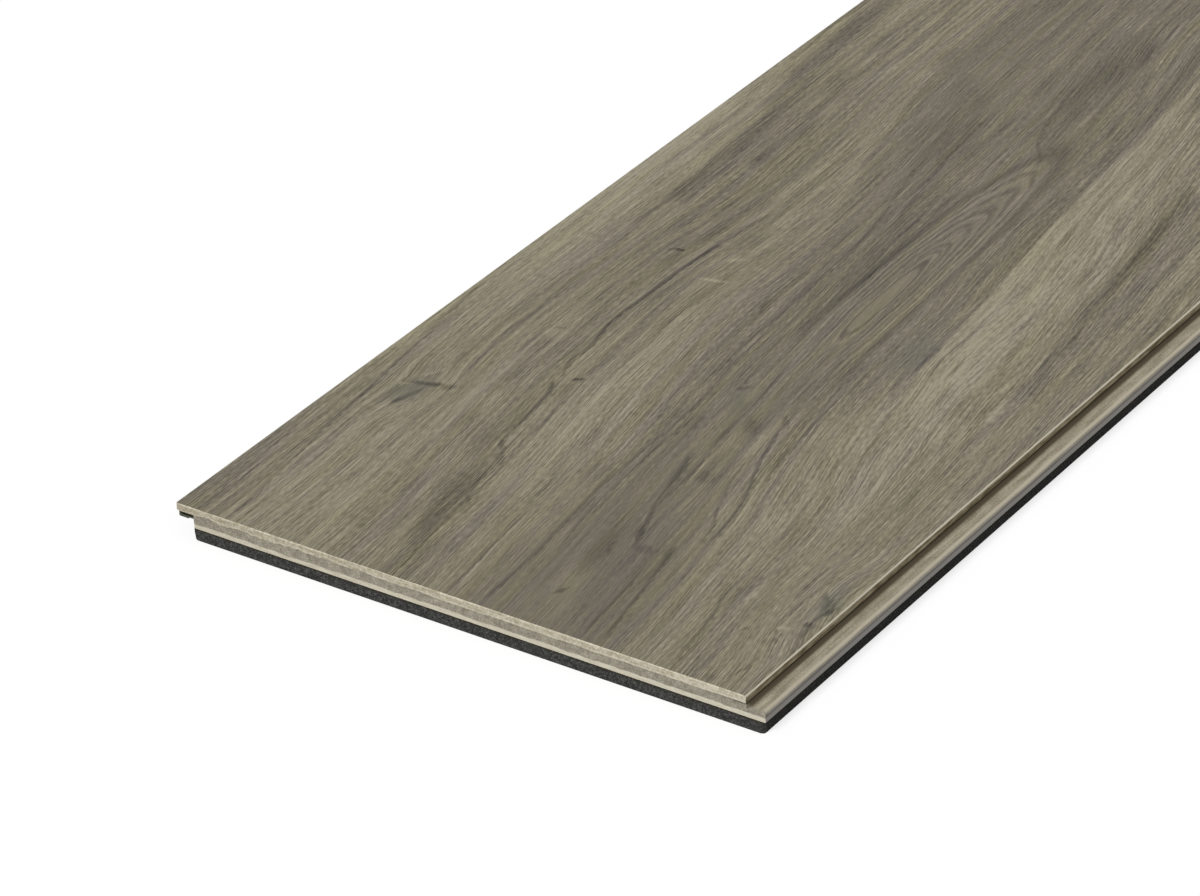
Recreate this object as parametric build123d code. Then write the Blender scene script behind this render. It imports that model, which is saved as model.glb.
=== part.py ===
from build123d import *
import os

# A click-together vinyl floor plank with an attached foam pad, lying face up.
# The plank runs along Y. The tongue edge is on the left (-X) and the lower lip is on the right (+X).
# The origin is at the middle of the underside of the whole plank, lip included.

# Driving dimensions of the plank, in millimetres
face_width = 150.0
length = 1220.0
pad_thickness = 3.0
backing_thickness = 1.2
core_thickness = 2.05
top_thickness = 1.75
long_edge_bevel = 0.3
short_edge_bevel = 0.2
tongue_side_lean = 0.25
tongue_corner_radius = 1.0

# Click profile: the lip on the right edge, with a bead that holds the next plank
lip_reach = 5.0
clearance = 0.1
trough_depth = 1.35
bead_height = 0.3
bead_start = 3.75
bead_flank = 0.25
bead_outer_radius = 0.5
groove_depth = 3.0
groove_inner_height = 0.25
groove_mouth_height = 0.55
trough_start = 0.45
trough_radius = 0.4

# Click profile: the spring tongue on the left edge, under the overhanging printed layer
tongue_setback = 0.65
tongue_nose_radius = 0.45
nose_length = 0.9
relief_slot_height = 0.42
relief_slot_length = 2.1
body_undercut = 0.25
tool_radius = 0.1

# Foam pad: soft edges, cut a little proud of the backing on the tongue side, where it leans in towards the floor
pad_lean = 0.6
pad_edge_radius = 0.6
pad_tongue_corner_radius = 0.3
pad_lip_corner_radius = 1.5

# Heights of the layer joints above the floor
pad_top = pad_thickness
backing_top = pad_top + backing_thickness
core_top = backing_top + core_thickness
face_top = core_top + top_thickness

# Places across the plank
left = -(face_width + lip_reach) / 2
right = left + face_width
lip_edge = right + lip_reach
body_left = left + lip_reach + clearance

# Heights in the click profile: the tongue follows the lip's upper side, one clearance above it
trough_floor = core_top - trough_depth
bead_top = trough_floor + bead_height
tongue_bottom = trough_floor + clearance
seat_roof = bead_top + clearance
nose_top = core_top - clearance
slot_floor = nose_top - relief_slot_height


def undercut_at(height):
    """How far the body's left wall leans in below the tongue, at a height above the floor."""
    return body_undercut * (seat_roof - height) / (seat_roof - pad_top)


def full_length(corners):
    """Extrudes a cross-section along the plank. Each corner is across, height and rounding radius."""
    points = [(across, height) for across, height, rounding in corners]
    roundings = [rounding for across, height, rounding in corners]
    outline = FilletPolyline(*points, radius=roundings, close=True)
    return extrude(Plane.XZ * make_face(outline), amount=length / 2, both=True)


def with_end_corners(layer, start, end, start_radius, end_radius):
    """Rounds a layer's upright corners, at its tongue side with one radius and at its lip side with another."""
    outline = Pos((start + end) / 2, 0) * Rectangle(end - start, length)
    tongue_corners = outline.vertices().group_by(Axis.X)[0]
    outline = fillet(tongue_corners, start_radius)
    if end_radius > 0:
        lip_corners = outline.vertices().group_by(Axis.X)[-1]
        outline = fillet(lip_corners, end_radius)
    return layer & extrude(outline, amount=face_top)


def make_top_layer():
    """Printed vinyl: a strip as wide as the visible face, with its four upper edges eased.

    The tongue side leans in a little below its bevel, and its corners are rounded."""
    section = [
        (left + tongue_side_lean, core_top, 0),
        (right, core_top, 0),
        (right, face_top - long_edge_bevel, 0),
        (right - long_edge_bevel, face_top, 0),
        (left + long_edge_bevel, face_top, 0),
        (left, face_top - long_edge_bevel, 0),
    ]
    strip = full_length(section)
    end_edges = strip.edges().group_by(Axis.Z)[-1].filter_by(Axis.X)
    eased = chamfer(end_edges, short_edge_bevel)
    return with_end_corners(eased, left, right, tongue_corner_radius, 0)


def make_core():
    """Rigid core: carries the whole click profile on both long edges."""
    slot_start = left + tongue_setback + nose_length
    slot_end = slot_start + relief_slot_length
    groove_end = right - groove_depth
    bead_crest = right + bead_start + bead_flank
    upper_side = [
        (slot_end, core_top, 0),
        (groove_end, core_top, 0),
        (groove_end, core_top - groove_inner_height, tool_radius),
    ]
    lip = [
        (right, core_top - groove_mouth_height, trough_radius),
        (right + trough_start, trough_floor, trough_radius),
        (right + bead_start, trough_floor, tool_radius),
        (bead_crest, bead_top, tool_radius),
        (lip_edge, bead_top, bead_outer_radius),
        (lip_edge, backing_top, 0),
    ]
    tongue = [
        (body_left + undercut_at(backing_top), backing_top, 0),
        (body_left, seat_roof, tool_radius),
        (left + bead_start + bead_flank, seat_roof, tool_radius),
        (left + bead_start, tongue_bottom, tool_radius),
        (left + tongue_setback, tongue_bottom, tongue_nose_radius),
        (left + tongue_setback, nose_top, tool_radius),
        (slot_start, nose_top, tool_radius),
        (slot_start, slot_floor, tool_radius),
        (slot_end, slot_floor, tool_radius),
    ]
    core = full_length(upper_side + lip + tongue)
    return with_end_corners(core, left + tongue_setback, lip_edge, tongue_corner_radius, 0)


def make_backing():
    """Balancing layer under the core, milled flush with the lip and the body."""
    section = [
        (body_left + undercut_at(pad_top), pad_top, 0),
        (lip_edge, pad_top, 0),
        (lip_edge, backing_top, 0),
        (body_left + undercut_at(backing_top), backing_top, 0),
    ]
    return full_length(section)


def make_pad():
    """Foam underlay bonded to the backing, with soft corners and rounded lower edges."""
    section = [
        (body_left, pad_top, 0),
        (body_left + pad_lean, 0, pad_edge_radius),
        (lip_edge, 0, pad_edge_radius),
        (lip_edge, pad_top, 0),
    ]
    pad = full_length(section)
    return with_end_corners(pad, body_left, lip_edge, pad_tongue_corner_radius, pad_lip_corner_radius)


nodes = {
    "vinyl_top_layer": make_top_layer(),
    "rigid_core": make_core(),
    "backing_layer": make_backing(),
    "foam_pad": make_pad(),
}

os.makedirs("parts", exist_ok=True)
for name, solid in nodes.items():
    export_step(solid, f"parts/{name}.step")
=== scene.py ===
import math

import bpy
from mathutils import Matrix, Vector


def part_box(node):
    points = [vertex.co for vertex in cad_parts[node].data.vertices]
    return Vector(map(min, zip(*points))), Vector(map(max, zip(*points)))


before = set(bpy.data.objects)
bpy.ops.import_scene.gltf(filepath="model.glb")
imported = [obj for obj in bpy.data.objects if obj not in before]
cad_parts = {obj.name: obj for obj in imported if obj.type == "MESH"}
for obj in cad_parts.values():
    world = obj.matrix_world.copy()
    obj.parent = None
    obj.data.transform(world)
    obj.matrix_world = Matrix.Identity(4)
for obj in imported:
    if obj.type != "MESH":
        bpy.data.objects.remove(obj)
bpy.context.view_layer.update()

# Lengths in this script are millimetres. The frame is in metres.
MM = 0.001

# The printed face: its places are measured along and across from its near left corner
face_low, face_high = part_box("vinyl_top_layer")
face_length = (face_high.y - face_low.y) / MM
face_width = (face_high.x - face_low.x) / MM
pad_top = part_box("foam_pad")[1].z / MM
backing_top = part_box("backing_layer")[1].z / MM
core_top = face_low.z / MM

# Camera: the photograph's angle and field of view
camera_azimuth = math.radians(32.619)
camera_elevation = math.radians(30.229)
camera_distance = 1418.536
camera_target_along = 83.331
camera_target_across = 59.84
camera_lens = 184.949
camera_sensor = 36.0
camera_reach = 100000.0

# Light: one broad soft lamp from high in front, an even sky and a white floor
lamp_direction = Vector((-0.15, -0.7, 0.7))
lamp_strength = 2.5
lamp_spread = math.radians(22)
sky_strength = 0.3
floor_albedo = 0.3
floor_glow = 0.75
floor_half_size = 20000.0


def srgb(red, green, blue):
    """A linear colour from screen values between 0 and 255."""
    def linear(value):
        value = value / 255
        return value / 12.92 if value <= 0.04045 else ((value + 0.055) / 1.055) ** 2.4

    return linear(red), linear(green), linear(blue), 1.0


class Field:
    """A value that changes over a surface: a node's output, ready for plain arithmetic."""

    def __init__(self, graph, socket):
        self.graph = graph
        self.socket = socket

    def __add__(self, other):
        return self.graph.math("ADD", self, other)

    def __sub__(self, other):
        return self.graph.math("SUBTRACT", self, other)

    def __rsub__(self, other):
        return self.graph.math("SUBTRACT", other, self)

    def __mul__(self, other):
        return self.graph.math("MULTIPLY", self, other)

    def __truediv__(self, other):
        return self.graph.math("DIVIDE", self, other)

    def __abs__(self):
        return self.graph.math("ABSOLUTE", self)

    __radd__ = __add__
    __rmul__ = __mul__


class Graph:
    """The node graph of one material."""

    def __init__(self, name):
        self.material = bpy.data.materials.new(name)
        self.material.use_nodes = True
        self.tree = self.material.node_tree
        self.tree.nodes.clear()
        place = self.node("ShaderNodeTexCoord", {}, "Object")
        self.normal = Field(self, place.socket.node.outputs["Normal"])
        self.x, self.y, self.z = (part / MM for part in self.split(place))

    def feed(self, socket, value):
        """Links a field to a socket, or sets the socket to a constant."""
        if isinstance(value, Field):
            self.tree.links.new(value.socket, socket)
        else:
            socket.default_value = value

    def node(self, kind, inputs, output=0, **settings):
        """Adds a node and gives one of its outputs."""
        node = self.tree.nodes.new(kind)
        for name, value in settings.items():
            setattr(node, name, value)
        for name, value in inputs.items():
            self.feed(node.inputs[name], value)
        return Field(self, node.outputs[output])

    def math(self, operation, *values):
        """One step of arithmetic with fields and constants."""
        node = self.tree.nodes.new("ShaderNodeMath")
        node.operation = operation
        for socket, value in zip(node.inputs, values):
            self.feed(socket, value)
        return Field(self, node.outputs[0])

    def vector(self, x, y, z=0.0):
        return self.node("ShaderNodeCombineXYZ", {"X": x, "Y": y, "Z": z})

    def split(self, vector):
        """The three parts of a vector."""
        node = self.node("ShaderNodeSeparateXYZ", {"Vector": vector}).socket.node
        return [Field(self, socket) for socket in node.outputs]

    def ramp(self, value, start, end, top=1.0):
        """0 before start and the top value after end, with a smooth change between them."""
        inputs = {"Value": value, "From Min": start, "From Max": end, "To Max": top}
        return self.node("ShaderNodeMapRange", inputs, interpolation_type="SMOOTHSTEP")

    def line(self, value, slope, start):
        """The value times a slope, plus a start."""
        return self.math("MULTIPLY_ADD", value, slope, start)

    def variation(self, dimensions, point, detail, roughness=0.5):
        """Soft random variation about 0, mostly between -1 and 1, one unit to a wave."""
        inputs = {"Vector": point, "Scale": 1.0, "Detail": detail, "Roughness": roughness}
        noise = self.node("ShaderNodeTexNoise", inputs, "Fac", noise_dimensions=dimensions)
        gain = 4.0
        return self.line(noise, gain, -gain / 2)

    def noise(self, x, y, detail=0.0, roughness=0.5):
        """Random variation over two values."""
        return self.variation("2D", self.vector(x, y), detail, roughness)

    def grain(self, size, detail=0.0):
        """Random variation in all three directions, with waves of one size."""
        point = self.vector(self.x / size, self.y / size, self.z / size)
        return self.variation("3D", point, detail)

    def facing(self, axis):
        """1 on faces that look along an axis, either way, and 0 on the others."""
        return self.ramp(abs(self.split(self.normal)[axis]), 0.6, 0.8)

    def path(self, along, points):
        """A smooth line through given points: the place across for each place along."""
        starts = [point[0] for point in points]
        places = [point[1] for point in points]
        start, reach = min(starts), max(starts) - min(starts)
        low, rise = min(places), max(places) - min(places)
        share = self.line(along, 1 / reach, -start / reach)
        curve = self.tree.nodes.new("ShaderNodeFloatCurve")
        knots = curve.mapping.curves[0].points
        while len(knots) < len(points):
            knots.new(0.5, 0.5)
        for knot, point in zip(knots, points):
            knot.location = ((point[0] - start) / reach, (point[1] - low) / rise)
        curve.mapping.update()
        self.feed(curve.inputs["Value"], share)
        return self.line(Field(self, curve.outputs["Value"]), rise, low)

    def colours(self, value, stops):
        """A colour for each value, from stops of value and colour."""
        low, high = stops[0][0], stops[-1][0]
        share = self.line(value, 1 / (high - low), -low / (high - low))
        node = self.tree.nodes.new("ShaderNodeValToRGB")
        elements = node.color_ramp.elements
        while len(elements) < len(stops):
            elements.new(0.5)
        for element, (place, colour) in zip(elements, stops):
            element.position = (place - low) / (high - low)
            element.color = colour
        self.feed(node.inputs["Fac"], share)
        return Field(self, node.outputs["Color"])

    def mix(self, share, first, second):
        """The first colour where share is 0, the second where it is 1."""
        node = self.tree.nodes.new("ShaderNodeMix")
        node.data_type = "RGBA"
        # The node's colour sockets share their names with its other sockets, so they are picked by number
        share_socket, first_socket, second_socket, colour_output = 0, 6, 7, 2
        self.feed(node.inputs[share_socket], share)
        self.feed(node.inputs[first_socket], first)
        self.feed(node.inputs[second_socket], second)
        return Field(self, node.outputs[colour_output])

    def surface(self, colour, roughness, specular, height=None, relief=0.0):
        """The finished shader. Relief is the height of the bump in millimetres."""
        inputs = {"Base Color": colour, "Roughness": roughness, "Specular IOR Level": specular}
        if height is not None:
            inputs["Normal"] = self.node("ShaderNodeBump", {"Height": height, "Distance": relief * MM})
        return self.finished(inputs)

    def finished(self, inputs):
        """The material, once its one shader has been given its inputs."""
        shader = self.node("ShaderNodeBsdfPrincipled", inputs)
        output = self.tree.nodes.new("ShaderNodeOutputMaterial")
        self.feed(output.inputs["Surface"], shader)
        return self.material


# The listed marks of the print fill one section, and the sections follow each other along the plank.
# After each joint the marks fade in.
section_length = 430.0
joint_fade = 60

# Tones of the print are screen levels lighter or darker than its middle colour
middle_tone = 120
olive_colours = [
    (50, srgb(50, 46, 36)),
    (93, srgb(93, 88.2, 72.5)),
    (106, srgb(107, 101.7, 83.5)),
    (120, srgb(121, 115.4, 94)),
    (132, srgb(133, 126.6, 103.5)),
    (144, srgb(145, 138.4, 115)),
    (166, srgb(167, 160, 135)),
]
purple_colours = [
    (50, srgb(51, 45, 42)),
    (93, srgb(94, 87.7, 81.2)),
    (106, srgb(107, 100.6, 91.8)),
    (120, srgb(121, 113.8, 103)),
    (132, srgb(133, 125.6, 112)),
    (144, srgb(145, 137.5, 122)),
    (166, srgb(167, 159, 142)),
]
green_grey = srgb(98, 103, 93)

# Tone of the light wood, and what the heartwood and the stave add to it
light_wood_tone = 10.5
heart_tone = -12.0
stave_tone = 12.0

# Streaks and grain: size of a wave across the grain and along it, and tone
broad_size = (10, 240)
medium_size = (2.4, 130)
narrow_size = (0.8, 50)
fine_size = (0.3, 14)
broken_size = (0.3, 2.2)
broad_tone = 5.0
medium_tone = 11.0
narrow_tone = 3.5
fine_tone = 16.0
broken_tone = 11.0
dark_hairline_tone = -6.0
pale_hairline_tone = 5.0

# Marks of the print, in lists: place along and across, half length, half width, turn in degrees, tone
light_patches = [
    (175, 3, 150, 15, -1, 15),
    (18, 24, 95, 17, -4, 8),
    (90, 57, 62, 12, -3, 8),
    (205, 117, 125, 13, -4, 6),
    (108, 122, 85, 16, -5, 10),
    (242, 40.6, 19, 2.4, -3, 13),
    (212, 39.6, 14, 1.4, -2, 10),
]
dark_patches = [
    (40, 97, 45, 13, -9, -6),
    (10, 107, 40, 9, -9, -6),
    (295, 75, 50, 8, -3, -14),
    (190, 76, 55, 7, -4, -9),
    (250, 56, 34, 9, -10, -11),
    (0, 59, 34, 8, 2, -13),
    (190, 31, 95, 10, -3, -9),
    (245, 18, 75, 9, -5, -8),
    (5, 4, 34, 9, 0, -9),
    (34, 51.4, 34, 4.2, -12, -24),
    (130, 39.7, 34, 2.4, 1, -14),
    (79, 44.8, 20, 2, -5, -13),
    (205, 136, 80, 8, -5, -6),
]

# Leaf-shaped knot near the left edge
leaf_knot = [
    (70, 15.4, 9, 5, 10, -12),
    (68, 16.8, 7.5, 1.2, 15, -34),
    (64.5, 15.9, 2.4, 0.9, 18, -22),
    (75, 17, 5.5, 1.4, 68, -32),
    (75.6, 19.2, 3, 2, 50, -25),
    (76.4, 22.8, 2.6, 1.8, 20, -34),
    (72.8, 13.4, 2.8, 0.9, 65, 20),
    (80, 15.7, 5, 0.8, 25, 18),
    (81, 12.8, 4.4, 1.5, 8, -11),
    (109, 19.4, 8, 1.0, -2, -12),
]

# Short strokes and flecks beside the long crack
crack_marks = [
    (36.6, 54.6, 2.8, 0.7, -30, -20),
    (56, 50.2, 5, 1.6, -28, -20),
    (61, 47.6, 4, 1.1, -32, -34),
    (90, 42.2, 3.8, 0.9, -14, -32),
    (95.6, 45.9, 2.4, 0.9, 48, -44),
    (111, 30, 4.5, 4.5, 0, 14),
    (114, 28.8, 2.8, 0.7, 62, -16),
    (162, 32, 2.2, 1.0, 85, -46),
    (161, 30.2, 1.4, 0.6, 30, -24),
    (152, 34, 12, 1.3, 2, -11),
    (172, 35, 13, 1.4, 2, -12),
    (153.2, 47, 5.5, 1.1, 74, 27),
    (165, 46.6, 4.5, 1.0, 56, 19),
    (149.8, 63.4, 4, 1.2, -8, -18),
    (212.5, 23.2, 6, 1.2, 0, -14),
]

# Flame-shaped marks and blotches near the end
flame_marks = [
    (14, 95, 16, 4.5, -8, 7),
    (15, 93.4, 2.8, 1.1, 24, -30),
    (36, 90.6, 16, 4, -10, -12),
    (36, 92.6, 4.5, 0.9, -12, -18),
    (44.5, 95.2, 5, 1.2, -17, -22),
    (39.6, 99.4, 2.4, 4.2, 0, -14),
    (40.5, 105.2, 5.5, 1.3, -8, -22),
    (73, 88, 13, 2.2, -12, -15),
    (73.4, 94.2, 3.6, 4.6, 30, -16),
    (99, 91, 6.4, 3.0, -30, -16),
    (104.5, 96.8, 4.5, 1.2, -35, -20),
    (94, 96.6, 13, 2.2, -5, 13),
    (113, 80.6, 3.2, 1.2, 38, -24),
    (111, 83.6, 6, 2.4, -16, 11),
    (48, 79, 11, 1.5, -6, -12),
]

# Pale flecks on the stave
pale_flecks = [
    (152.5, 111, 3.2, 2.2, -30, 12),
    (161.5, 111.6, 2.4, 2.4, 0, 12),
    (145, 124, 8, 1.3, -8, 11),
    (163.5, 126.8, 2, 1.6, 0, 11),
    (172, 122, 4.5, 1.0, -12, 10),
    (147, 117.4, 6, 0.9, -4, -12),
]

# Swirl knot near the right edge
swirl_knot = [
    (41, 146, 4.5, 2.6, -25, -30),
    (44, 143.6, 2.2, 1.2, -20, -30),
    (31.8, 146, 1.8, 1.2, 10, -44),
    (37.4, 147.2, 5.4, 0.9, 11, -42),
    (29, 147, 6, 1.5, 0, -14),
    (21.5, 143.4, 2.8, 1.7, -10, -20),
    (2.5, 139.4, 2.6, 1.8, 0, -16),
    (23, 135.5, 2.2, 0.7, 14, -26),
    (28, 142.6, 2.6, 1.0, 65, 16),
    (25.6, 142.4, 2, 0.7, -40, -20),
    (45, 138, 7, 1.4, -2, -15),
    (8, 143.8, 8, 0.6, 4, -20),
]

# Long lines of the print: half width, tone, then points along and across
print_lines = [
    (0.75, -43, [(113, 39.4), (118, 38.3), (127, 37.5), (140, 37.7), (153, 37.7), (162, 38.3), (172, 39)]),
    (1.1, -26, [(158, 38), (167, 38.6), (174, 39.1), (181, 39.9), (192, 41.9)]),
    (0.9, -38, [(92, 43.2), (100, 40.3), (103, 39.7), (109, 39.9), (120, 38.2)]),
    (1.2, -25, [(60, 47.6), (66, 45.4), (74, 44.9), (82, 44.4), (95, 42.6)]),
    (0.8, -23, [(36, 54.2), (44, 52.2), (50, 51.2), (56, 50)]),
    (0.7, -21, [(0, 14), (28, 11.5), (49, 8.8), (70, 6.9), (88, 5.1), (110, 2.6), (125, 0.6)]),
    (1.3, -10, [(108, 20), (150, 18), (178, 16.6), (204, 17)]),
    (4.5, -17, [(180, 18.4), (220, 15), (240, 12.5), (262, 9), (280, 6.6), (310, 4.2)]),
    (0.6, -17, [(0, 73), (20, 70.6), (40, 68.5)]),
    (0.5, 14, [(0, 74.4), (20, 71.4), (42, 69)]),
    (0.7, -20, [(0, 81.4), (30, 79.6), (42, 78.2), (55, 76.7), (75, 76.2), (104, 75.2)]),
    (0.7, -18, [(30, 83), (55, 79.6), (75, 78.4), (100, 77.6)]),
    (1.0, -17, [(38, 97), (47, 94.7), (52, 93), (58, 90.9), (67, 89.3), (75, 87.6), (84, 84.6)]),
    (0.4, 12, [(36, 97), (46.6, 93.8), (53, 91.7), (58, 90.3), (68, 88.2)]),
    (0.5, 12, [(66, 92.8), (77, 91.3), (83, 89.3), (92, 87)]),
    (0.6, -16, [(0, 108), (10, 106.4), (21, 105.5), (36, 103)]),
    (0.7, -21, [(56, 91.8), (75, 90.6), (90, 88), (110, 86.2), (124, 84.4)]),
    (0.7, -24, [(48, 110.6), (62, 108.4), (73, 105.9), (82, 102.4), (95, 98.8), (106, 96.2)]),
    (0.7, -20, [(46, 108.8), (57, 106.8), (62, 104.2), (70, 102), (76, 99.6)]),
    (0.7, -24, [(74, 108), (84, 106), (90, 105.1), (104, 103.2), (124, 100.8)]),
    (0.6, 12, [(50, 111.6), (64, 109.6), (76, 106.6), (88, 103.4)]),
    (0.7, -22, [(0, 112.6), (12, 110.6), (24, 108.6), (44, 105.4)]),
    (0.7, -19, [(0, 130.6), (10, 129), (28, 125.8), (33, 124.2), (42, 123.3)]),
    (0.6, -17, [(22, 143.2), (27, 141.4), (31, 140.5), (38, 140.4), (46, 140.9), (56, 142.8)]),
    (0.8, 14, [(23, 144), (28, 142.3), (33, 141.7), (40, 141.7), (50, 142.8)]),
    (0.8, -13, [(112, 71.2), (150, 69), (175, 68), (195, 66), (215, 62), (236, 56.5)]),
    (1.3, -14, [(200, 69.4), (230, 64), (250, 61), (264, 60)]),
    (0.7, -15, [(140, 78.4), (158, 77), (185, 77.4), (204, 77.8)]),
    (0.9, -14, [(244, 84.6), (250, 82.4), (256, 78.6), (264, 75.6), (285, 72)]),
    (4.2, -17, [(140, 138.6), (165, 134), (180, 131), (195, 129.6), (215, 127.6), (240, 125), (262, 122)]),
]

# Smooth places with less grain, as marks with the share of the grain that is lost
smooth_patches = [
    (18, 94, 80, 34, -4, 0.5),
    (95, 88, 55, 18, -6, 0.25),
    (108, 83, 10, 3, -14, 0.4),
    (70, 15.5, 9, 4, 10, 0.4),
    (280, 60, 60, 30, -6, 0.2),
]

# Greenish places, as marks without a tone
green_patches = [
    (70, 15.4, 11, 6, 10),
    (42, 146, 14, 5, -10),
    (148, 106, 16, 5, -5),
    (108, 83, 11, 3, -14),
]

# Edges of the dark heartwood zone: points along and across
zone_left_edge = [
    (0, 78), (45, 77), (80, 73), (104, 66), (145, 60), (200, 55), (230, 45),
    (250, 41.5), (270, 38), (345, 32), (390, 33), (section_length, 35),
]
zone_right_edge = [
    (0, 115), (24, 113), (42, 107), (60, 97), (88, 94), (110, 99), (142, 110.5), (160, 108.6),
    (180, 106.6), (200, 104.4), (240, 100), (280, 97.2), (345, 93), (390, 80), (section_length, 72),
]

# Light stave on the right side of the heartwood: where it starts and ends along the plank, and its width
stave_start = 137
stave_end = 340
stave_width = 18

# Arches of the grain: their middle along and across, how their axis leans and bends, how many times longer
# than wide they are, the distance between their fine lines, and how uneven they are
arch_middle = (166, 86.3)
arch_slope = -0.044
arch_bow = 0.0003
arch_stretch = 10.2
arch_spacing = 0.42
arch_wobble = 0.2

# Tone of the arches, from the pale eye outwards: distance from the middle, tone
arch_rings = [
    (0, 9), (1.6, 9), (1.95, -17), (2.4, 12), (2.8, -10), (3.0, 0), (3.3, -12),
    (3.6, 9), (4.2, -15), (4.85, 13), (5.3, -11), (5.8, 14), (6.3, -8), (7.0, 20),
    (7.45, -9), (7.8, 11), (8.5, -14), (9.3, -11), (10.2, -2), (11, 0),
]
eye_reach = arch_rings[1][0]
arch_reach = arch_rings[-1][0]
arch_near_end = 120

# Where the lines of the grain bend aside, as marks with a shift across
grain_bends = [
    (118, 40, 90, 38, 0, 4.0),
    (205, 44, 75, 28, 0, -3.0),
    (72, 18, 20, 11, 0, -2.0),
    (122, 112, 70, 26, 0, 3.0),
    (266, 84, 75, 26, 0, -4.0),
    (38, 143, 30, 13, 0, 3.0),
]


def spot(g, place, along, across, half_length, half_width, turn, tone=1.0):
    """A soft patch: its tone around the middle, 0 at its rim."""
    inputs = {
        "Vector": place,
        "Location": (along, across, 0),
        "Rotation": (0, 0, math.radians(turn)),
        "Scale": (half_length, half_width, 1),
    }
    local = g.node("ShaderNodeMapping", inputs, vector_type="TEXTURE")
    nearness = g.node("ShaderNodeTexGradient", {"Vector": local}, "Fac", gradient_type="SPHERICAL")
    return g.ramp(nearness, 0.0, 0.75, tone)


def spots(g, place, patches):
    """The sum of all the patches of a list."""
    total = 0.0
    for patch in patches:
        total = spot(g, place, *patch) + total
    return total


def stroke(g, along, across, half_width, tone, points):
    """A line through points, with its tone along the middle, fading at its sides and at its ends."""
    fade = 8.0
    first, last = points[0][0], points[-1][0]
    side = g.ramp(abs(across - g.path(along, points)), half_width, 0.2 * half_width, tone)
    return side * g.ramp(along, first - 1, first + fade) * g.ramp(along, last, last - fade)


def repeated(g, along, across):
    """The places of the listed marks, which come again in each section along the plank.

    They are mirrored in the second section. The last value is 0 at the joint of two sections and
    rises to 1 after it. It is 1 all through the first section."""
    section = g.math("FLOOR", along / section_length)
    mirrored = g.math("MODULO", section, 2.0)
    later = g.ramp(section, 0.4, 0.6)
    mark_along = along - section_length * section
    mark_across = across + mirrored * (face_width - 2 * across)
    return mark_along, mark_across, later, 1 - later * g.ramp(mark_along, joint_fade, 0)


def wood_flow(g, along, across, bends):
    """The place across the grain: it stays the same along each line of the grain.

    The lines lean a little to the left, and to the right in the mirrored second section."""
    tilt = 0.03 + 0.1 * g.ramp(across, 0, 95) - 0.05 * g.ramp(across, 95, 150)
    beyond = along - 2 * section_length
    reach = g.math("SMOOTH_MAX", beyond, -1 * beyond, 160.0)
    reach = g.math("SMOOTH_MIN", along, reach, 150.0)
    wander = 5.0 * g.noise(along / 260, across / 120) * g.ramp(along, 250, 450)
    flow = across + tilt * reach + wander + bends
    return flow + 0.5 * g.noise(along / 45, flow / 9, 1.0)


def hairlines(g, along, flow, spacing, length, thickness):
    """Thin lines along the grain, at uneven spacing, that come and go."""
    line = g.ramp(abs(g.noise(flow / spacing, along / length)), thickness, 0.0)
    return line * g.ramp(g.noise(along / (0.4 * length) + 31, flow / (3 * spacing)), -0.3, 0.5)


def strands(g, flow, along, size, *detail):
    """Random variation drawn out along the grain, with waves of one size across it and one along it."""
    return g.noise(flow / size[0], along / size[1], *detail)


def arches(g, along, across):
    """The distance from the middle of the arches, the same all along each arch, and their fine tone."""
    ahead = along - arch_middle[0]
    offset = across - arch_middle[1] - g.line(ahead, arch_bow, arch_slope) * ahead
    ahead = ahead / arch_stretch
    distance = g.math("SQRT", offset * offset + ahead * ahead)
    distance = distance + arch_wobble * g.noise(along / (1.6 * arch_stretch), across / 4, 1.0)
    tone = 14 * g.noise(distance / (2 * arch_spacing), along / 90, 2.0, 0.9)
    lines = hairlines(g, along, distance, spacing=1.6 * arch_spacing, length=120, thickness=0.2)
    return distance, tone - 12 * lines


def heart_zone(g, along, across, later):
    """1 inside the dark heartwood, with soft edges near the end of the plank and sharp ones further on.

    The second value is 1 on the light stave that starts along its sharp right edge."""
    soft = 1 - later
    left_softness = 0.8 + 9.0 * g.ramp(along, 250, 60) * soft
    right_softness = 0.4 + 10.0 * g.ramp(along, 148, 105) * soft
    inside = (across - g.path(along, zone_left_edge)) / left_softness
    beyond = across - g.path(along, zone_right_edge)
    heart = g.ramp(inside, -1.0, 1.0) * g.ramp(beyond / right_softness, 1.0, -1.0)
    stave = g.ramp(beyond, 0.0, 0.4) * g.ramp(beyond, stave_width, stave_width / 3)
    slanted_start = g.ramp(along + 2.5 * beyond, stave_start, stave_start + 10)
    return heart, stave * slanted_start * g.ramp(along, stave_end, stave_end - 80)


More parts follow.
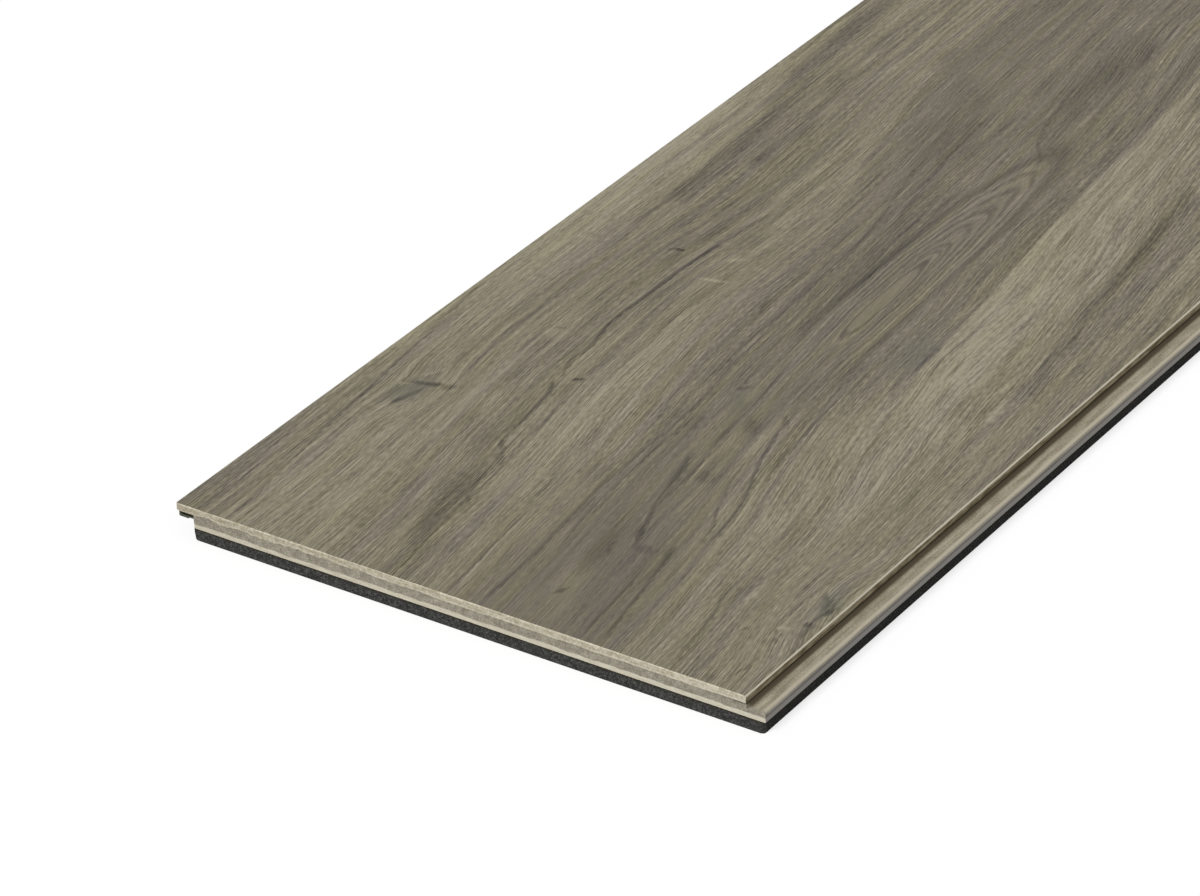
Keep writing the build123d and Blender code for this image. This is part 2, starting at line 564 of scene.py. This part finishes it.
def print_tone(g, along, across):
    """The tone of the wood print, how purple it is and how green it is, the last two from 0 to 1."""
    mark_along, mark_across, later, fresh = repeated(g, along, across)
    mark_place = g.vector(mark_along, mark_across)
    bends = spots(g, mark_place, grain_bends) * (1 - later)
    flow = wood_flow(g, along, across, bends)
    broad = strands(g, flow, along, broad_size, 1.0, 0.9)
    medium = strands(g, flow, along, medium_size, 1.0, 0.9)
    narrow = strands(g, flow, along, narrow_size)
    fine = strands(g, flow, along, fine_size)
    broken = strands(g, flow, along, broken_size)
    dark_lines = hairlines(g, along, flow, spacing=4.5, length=200, thickness=0.09)
    pale_lines = hairlines(g, along, flow + 91, spacing=2.3, length=70, thickness=0.1)
    streaks = broad_tone * broad + medium_tone * medium
    streaks = streaks + dark_hairline_tone * dark_lines + pale_hairline_tone * pale_lines

    # Arches of the grain around a long pale eye
    arch, arch_tone = arches(g, mark_along, mark_across)
    eye = g.ramp(arch, eye_reach + 0.4, eye_reach)
    arch_tone = 0.6 * arch_tone * (1 - eye) + g.path(arch, arch_rings)
    arch_share = g.ramp(arch, arch_reach, arch_reach - 1.5)
    arch_share = arch_share * g.ramp(mark_along, arch_near_end, arch_near_end + 35)
    streaks = streaks + (arch_tone - streaks) * arch_share

    # Edges of the patches follow the grain, and those of the marks are a little ragged
    close = mark_across + 0.12 * narrow + 0.15 * broken
    place = g.vector(mark_along, mark_across + 1.2 * broad + 0.6 * medium + 0.3 * narrow)
    near = g.vector(mark_along + 0.3 * broken, close + 0.2 * g.noise(along / 2.2, across / 1.1))
    marks = spots(g, place, light_patches + dark_patches)
    marks = marks + spots(g, near, leaf_knot + crack_marks + flame_marks + pale_flecks + swirl_knot)
    for half_width, shade, points in print_lines:
        marks = marks + stroke(g, mark_along, close, half_width, shade, points)
    heart, stave = heart_zone(g, mark_along, mark_across + 0.15 * medium, later)
    tone = light_wood_tone + heart_tone * heart + stave_tone * stave + marks * fresh

    # Grain, weaker in the smooth places and on the arches
    calm = g.math("MAXIMUM", 1 - spots(g, place, smooth_patches), 0.3)
    grain = narrow_tone * narrow + fine_tone * fine + broken_tone * broken
    grain = grain * (1 - 0.35 * arch_share - 0.3 * eye)
    purple = 0.46 + 0.12 * heart + 0.3 * g.noise(flow / 3, along / 60 + 7)
    green = spots(g, mark_place, green_patches)
    return tone + (streaks + grain) * calm, purple, green


def print_material():
    """Grey-brown wood print under a matt embossed wear layer, with the cream vinyl bare at the cut edges, a
    painted highlight on the eased edges and painted shade on the long sides.
    """
    g = Graph("printed_vinyl")
    along = g.y - face_low.y / MM
    across = g.x - face_low.x / MM
    tone, purple, green = print_tone(g, along, across)
    level = tone + middle_tone
    colour = g.mix(purple, g.colours(level, olive_colours), g.colours(level, purple_colours))
    colour = g.mix(0.2 * green, colour, green_grey)
    normal = g.split(g.normal)
    # Eased edges show the cream vinyl, lightened past its own colour as a painted highlight
    eased = g.ramp(abs(normal[0]), 0.2, 0.5) * g.ramp(normal[2], 0.3, 0.6)
    # The long sides take the browner wall colour: painted shade on the cream vinyl
    side = g.mix(g.facing(0), cut_colour(g), wall_colour_with_painted_shade(g))
    side = g.mix(eased, side, pale_edge_highlight)
    top = g.ramp(normal[2], 0.9, 0.97)
    embossing = g.noise((across + 0.08 * along) / 0.5, along / 20)
    roughness = g.line(embossing, 0.05, 0.6)
    colour = g.mix(top, side, colour)
    return g.surface(colour, roughness, specular=0.12, height=embossing, relief=0.008)


# Colours of the cut end and of the milled edges, from a low value through the middle to a high one
cream_colours = [(-1.4, srgb(166, 156, 133)), (0, srgb(192, 184, 162)), (1.4, srgb(216, 208, 187))]
core_colours = [(-1.4, srgb(118, 112, 99)), (0, srgb(157, 151, 135)), (1.4, srgb(192, 185, 168))]
backing_colours = [(-1.4, srgb(188, 180, 160)), (0, srgb(213, 206, 186)), (1.4, srgb(228, 222, 204))]
# The wall colours are the cream vinyl made browner and darker: painted shade
painted_shade_wall_colours = [(-1.4, srgb(132, 119, 94)), (0, srgb(178, 166, 138)), (1.4, srgb(208, 197, 170))]
lip_colours = [(-1.4, srgb(132, 123, 103)), (0, srgb(158, 150, 130)), (1.4, srgb(184, 176, 155))]
lip_side_colours = [(-1.4, srgb(160, 154, 146)), (0, srgb(176, 170, 161)), (1.4, srgb(192, 186, 177))]
pad_colours = [(-1.6, srgb(32, 32, 31)), (0, srgb(67, 67, 65)), (1.6, srgb(112, 112, 109))]
# Eased edges: bare cream vinyl made paler as a painted highlight
pale_edge_highlight = srgb(228, 219, 199)
# Painted highlight on the crest of the bead
bead_painted_highlight = srgb(188, 180, 160)
# Painted shade in the groove under the printed layer's edge
groove_painted_shade = srgb(118, 108, 88)
# Painted shade: the tongue's colour is the grey core darkened
tongue_painted_shade = srgb(88, 90, 78)
# Painted shadow of the slot above the tongue
painted_slot_shadow = srgb(34, 32, 24)
backing_side_colour = srgb(202, 198, 191)
pad_top_edge_colour = srgb(58, 54, 44)

# Places where the core changes colour on the lip, measured outwards from the edge of the face: where the
# painted shade of the groove ends and where the painted highlight of the bead lies
groove_end = 1.0
bead_inner_edge = 3.2
bead_outer_edge = 4.9
lip_side_start = 4.3

# Places where the painted shadow of the slot starts and the painted shade of the tongue ends, measured
# inwards from the left edge of the face
slot_start = 1.5
tongue_end = 5.3

# Depth of the painted shadow of the slot above the tongue, and how much of the lip's end looks like the cut
# end
slot_depth = 0.75
speckled_end = 1.8


def lighter_to_the_right(g, change):
    """The cut end is a little lighter towards the lip, by the change either way from its middle."""
    return g.x * (2 * change / face_width)


def smear(g, size, height):
    """How far the border between two layers wanders at the cut end, from place to place across."""
    return height * (g.noise(g.x / size, g.y / size) + 0.5 * g.noise(g.x / (0.25 * size), g.y / size))


def cut_colour(g):
    """The cut end of the plank down to the backing: mottled cream vinyl over speckled grey core, with painted
    shade along the top of the core.
    """
    wave = 1.3 - g.ramp(g.x, -40, 20)
    border = g.z - core_top - smear(g, 6.0, 0.2) * wave
    smudge = g.noise(g.x / 6, g.z / 0.4, 1.0)
    mottle = 0.6 * smudge + 0.8 * g.grain(0.6) + lighter_to_the_right(g, 0.5)
    mottle = mottle + 0.35 * g.noise(g.x / 2.2, g.z / 0.7)
    mottle = mottle + 0.7 * g.ramp(abs(border - 0.25), 0.25, 0.0)
    # Speckle of the core, with painted shade: darker just under the printed layer's edge
    speckle_and_shade = g.grain(0.32, 1.0) + 0.4 * g.grain(1.5) - 0.4 * g.ramp(abs(border + 0.15), 0.2, 0.0)
    cream = g.colours(mottle, cream_colours)
    grey = g.colours(speckle_and_shade, core_colours)
    return g.mix(g.ramp(border, -0.08, 0.08), grey, cream)


def wall_colour_with_painted_shade(g):
    """The long side of the printed layer: browner than the cream end as painted shade, with streaks along the
    plank, and painted shade darkest at its foot.
    """
    streak = g.noise(g.z / 0.5, g.y / 16) + 0.8 * g.noise(g.z / 1.2, g.y / 3.5)
    # Painted shade: darker towards the foot of the wall
    return g.colours(streak - 0.8 * g.ramp(g.z, core_top + 0.7, core_top), painted_shade_wall_colours)


def core_material():
    """Speckled grey where it is cut, and tan with fine streaks where the click profile is milled, with
    painted shade in the groove and on the tongue, a painted shadow over the slot and a painted highlight on
    the bead.
    """
    g = Graph("core_compound")
    across = g.x - face_low.x / MM
    past_face = across - face_width
    streak = 0.6 * g.noise(g.x / 0.6, g.y / 28, 1.0) + 0.5 * g.noise(g.x / 1.5, g.y / 7)
    milled = g.colours(streak + 0.6 * g.grain(0.4), lip_colours)
    # Painted shade: the lip is darker near the face's edge, in the groove under the printed layer
    milled = g.mix(g.ramp(past_face, groove_end, groove_end - 0.6), milled, groove_painted_shade)
    # Painted highlight: the crest of the bead is lighter
    bead = g.ramp(past_face, bead_inner_edge, bead_inner_edge + 0.6)
    bead = bead * g.ramp(past_face, bead_outer_edge, bead_outer_edge - 0.5)
    milled = g.mix(bead, milled, bead_painted_highlight)
    lip_side = g.colours(g.noise(g.z / 0.4, g.y / 20, 1.0) + 0.4 * g.grain(0.5), lip_side_colours)
    on_side = g.ramp(past_face, lip_side_start, lip_side_start + 0.3) * g.facing(0)
    milled = g.mix(on_side, milled, lip_side)
    speckle_limit = face_length / 2 - speckled_end
    end_of_lip = g.ramp(abs(g.y), speckle_limit, speckle_limit + 1.0)
    colour = g.mix(g.math("MAXIMUM", g.facing(1), 0.8 * end_of_lip), milled, cut_colour(g))
    # Painted shade over the whole tongue
    tongue = g.ramp(across, tongue_end, tongue_end - 0.4)
    colour = g.mix(tongue, colour, tongue_painted_shade)
    # Painted shadow: a dark band over the slot above the tongue, carried on across the solid end face beside
    # it
    slot_floor = core_top - slot_depth
    slot = g.ramp(across, slot_start, slot_start + 0.4) * tongue * g.ramp(g.z, slot_floor, slot_floor + 0.25)
    colour = g.mix(slot, colour, painted_slot_shadow)
    return g.surface(colour, roughness=0.7, specular=0.1, height=g.grain(0.4, 1.0), relief=0.015)


def backing_material():
    """Cream vinyl, with the grey of the core rubbed into its upper edge at the cut end."""
    g = Graph("backing_vinyl")
    mottle = 0.6 * g.noise(g.x / 3.5, g.z / 0.6, 1.0) + 0.6 * g.grain(0.4, 1.0)
    cream = g.colours(mottle + lighter_to_the_right(g, 0.3), backing_colours)
    grey = g.colours(g.grain(0.32, 1.0), core_colours)
    border = g.z - backing_top + 0.1 - smear(g, 4.0, 0.1)
    cut = g.mix(g.ramp(border, -0.1, 0.1), cream, grey)
    side = g.mix(g.facing(0), cut, backing_side_colour)
    return g.surface(side, roughness=0.6, specular=0.15, height=g.grain(0.6, 1.0), relief=0.01)


def pad_material():
    """Charcoal foam with fine cells, darker and a little olive along its top edge next to the backing."""
    g = Graph("pad_foam")
    cells = 0.5 * g.grain(0.6) + 1.0 * g.grain(0.24, 1.0)
    colour = g.colours(cells, pad_colours)
    top_edge_band = g.ramp(g.z + smear(g, 5.0, 0.1), pad_top - 0.6, pad_top - 0.25, 0.8)
    colour = g.mix(top_edge_band, colour, pad_top_edge_colour)
    return g.surface(colour, roughness=0.95, specular=0.03, height=cells, relief=0.05)


def floor_material():
    """White with the plank's shadow where the camera sees it, and plain grey for the light it throws back."""
    g = Graph("floor")
    light_path = g.tree.nodes.new("ShaderNodeLightPath")
    seen = [Field(g, light_path.outputs[name])
            for name in ("Is Camera Ray", "Is Glossy Ray", "Is Transmission Ray")]
    white = g.math("MAXIMUM", g.math("MAXIMUM", seen[0], seen[1]), seen[2])
    grey = (floor_albedo, floor_albedo, floor_albedo, 1.0)
    inputs = {
        "Base Color": grey,
        "Roughness": 1.0,
        "Specular IOR Level": 0.0,
        "Emission Color": (1.0, 1.0, 1.0, 1.0),
        "Emission Strength": white * floor_glow,
    }
    return g.finished(inputs)


def make_floor():
    """A wide flat floor under the plank."""
    mesh = bpy.data.meshes.new("floor")
    size = floor_half_size * MM
    corners = [(-size, -size, 0), (size, -size, 0), (size, size, 0), (-size, size, 0)]
    mesh.from_pydata(corners, [], [(0, 1, 2, 3)])
    mesh.materials.append(floor_material())
    floor = bpy.data.objects.new("floor", mesh)
    bpy.context.scene.collection.objects.link(floor)


def make_sky():
    """An even sky: white where it is seen, dimmer as a light."""
    world = bpy.data.worlds.new("sky")
    world.use_nodes = True
    tree = world.node_tree
    background = tree.nodes["Background"]
    background.inputs["Color"].default_value = (1.0, 1.0, 1.0, 1.0)
    light_path = tree.nodes.new("ShaderNodeLightPath")
    strength = light_path.outputs["Is Camera Ray"]
    for name in ("Is Glossy Ray", "Is Transmission Ray"):
        larger = tree.nodes.new("ShaderNodeMath")
        larger.operation = "MAXIMUM"
        tree.links.new(strength, larger.inputs[0])
        tree.links.new(light_path.outputs[name], larger.inputs[1])
        strength = larger.outputs[0]
    level = tree.nodes.new("ShaderNodeMapRange")
    level.inputs["To Min"].default_value = sky_strength
    level.inputs["To Max"].default_value = 1.0
    tree.links.new(strength, level.inputs["Value"])
    tree.links.new(level.outputs[0], background.inputs["Strength"])
    bpy.context.scene.world = world


def make_lamp():
    """A broad lamp as far off as the sun, with a soft shadow."""
    lamp = bpy.data.lights.new("soft_lamp", "SUN")
    lamp.energy = lamp_strength
    lamp.angle = lamp_spread
    holder = bpy.data.objects.new("soft_lamp", lamp)
    holder.rotation_euler = lamp_direction.to_track_quat("Z", "Y").to_euler()
    bpy.context.scene.collection.objects.link(holder)


def make_camera():
    """The photograph's view of the near end of the plank."""
    target = Vector((face_low.x + camera_target_across * MM, face_low.y + camera_target_along * MM, 0))
    level = math.cos(camera_elevation)
    back_across = math.sin(camera_azimuth) * level
    back_along = -math.cos(camera_azimuth) * level
    back = Vector((back_across, back_along, math.sin(camera_elevation)))
    camera = bpy.data.cameras.new("camera")
    camera.lens = camera_lens
    camera.sensor_width = camera_sensor
    camera.sensor_fit = "HORIZONTAL"
    camera.clip_end = camera_reach * MM
    holder = bpy.data.objects.new("camera", camera)
    holder.location = target + back * camera_distance * MM
    holder.rotation_euler = back.to_track_quat("Z", "Y").to_euler()
    bpy.context.scene.collection.objects.link(holder)
    bpy.context.scene.camera = holder


def dress(node, material):
    """Gives a CAD piece its material."""
    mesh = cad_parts[node].data
    mesh.materials.clear()
    mesh.materials.append(material)


dress("vinyl_top_layer", print_material())
dress("rigid_core", core_material())
dress("backing_layer", backing_material())
dress("foam_pad", pad_material())
make_floor()
make_sky()
make_lamp()
make_camera()
bpy.context.scene.view_settings.view_transform = "Standard"
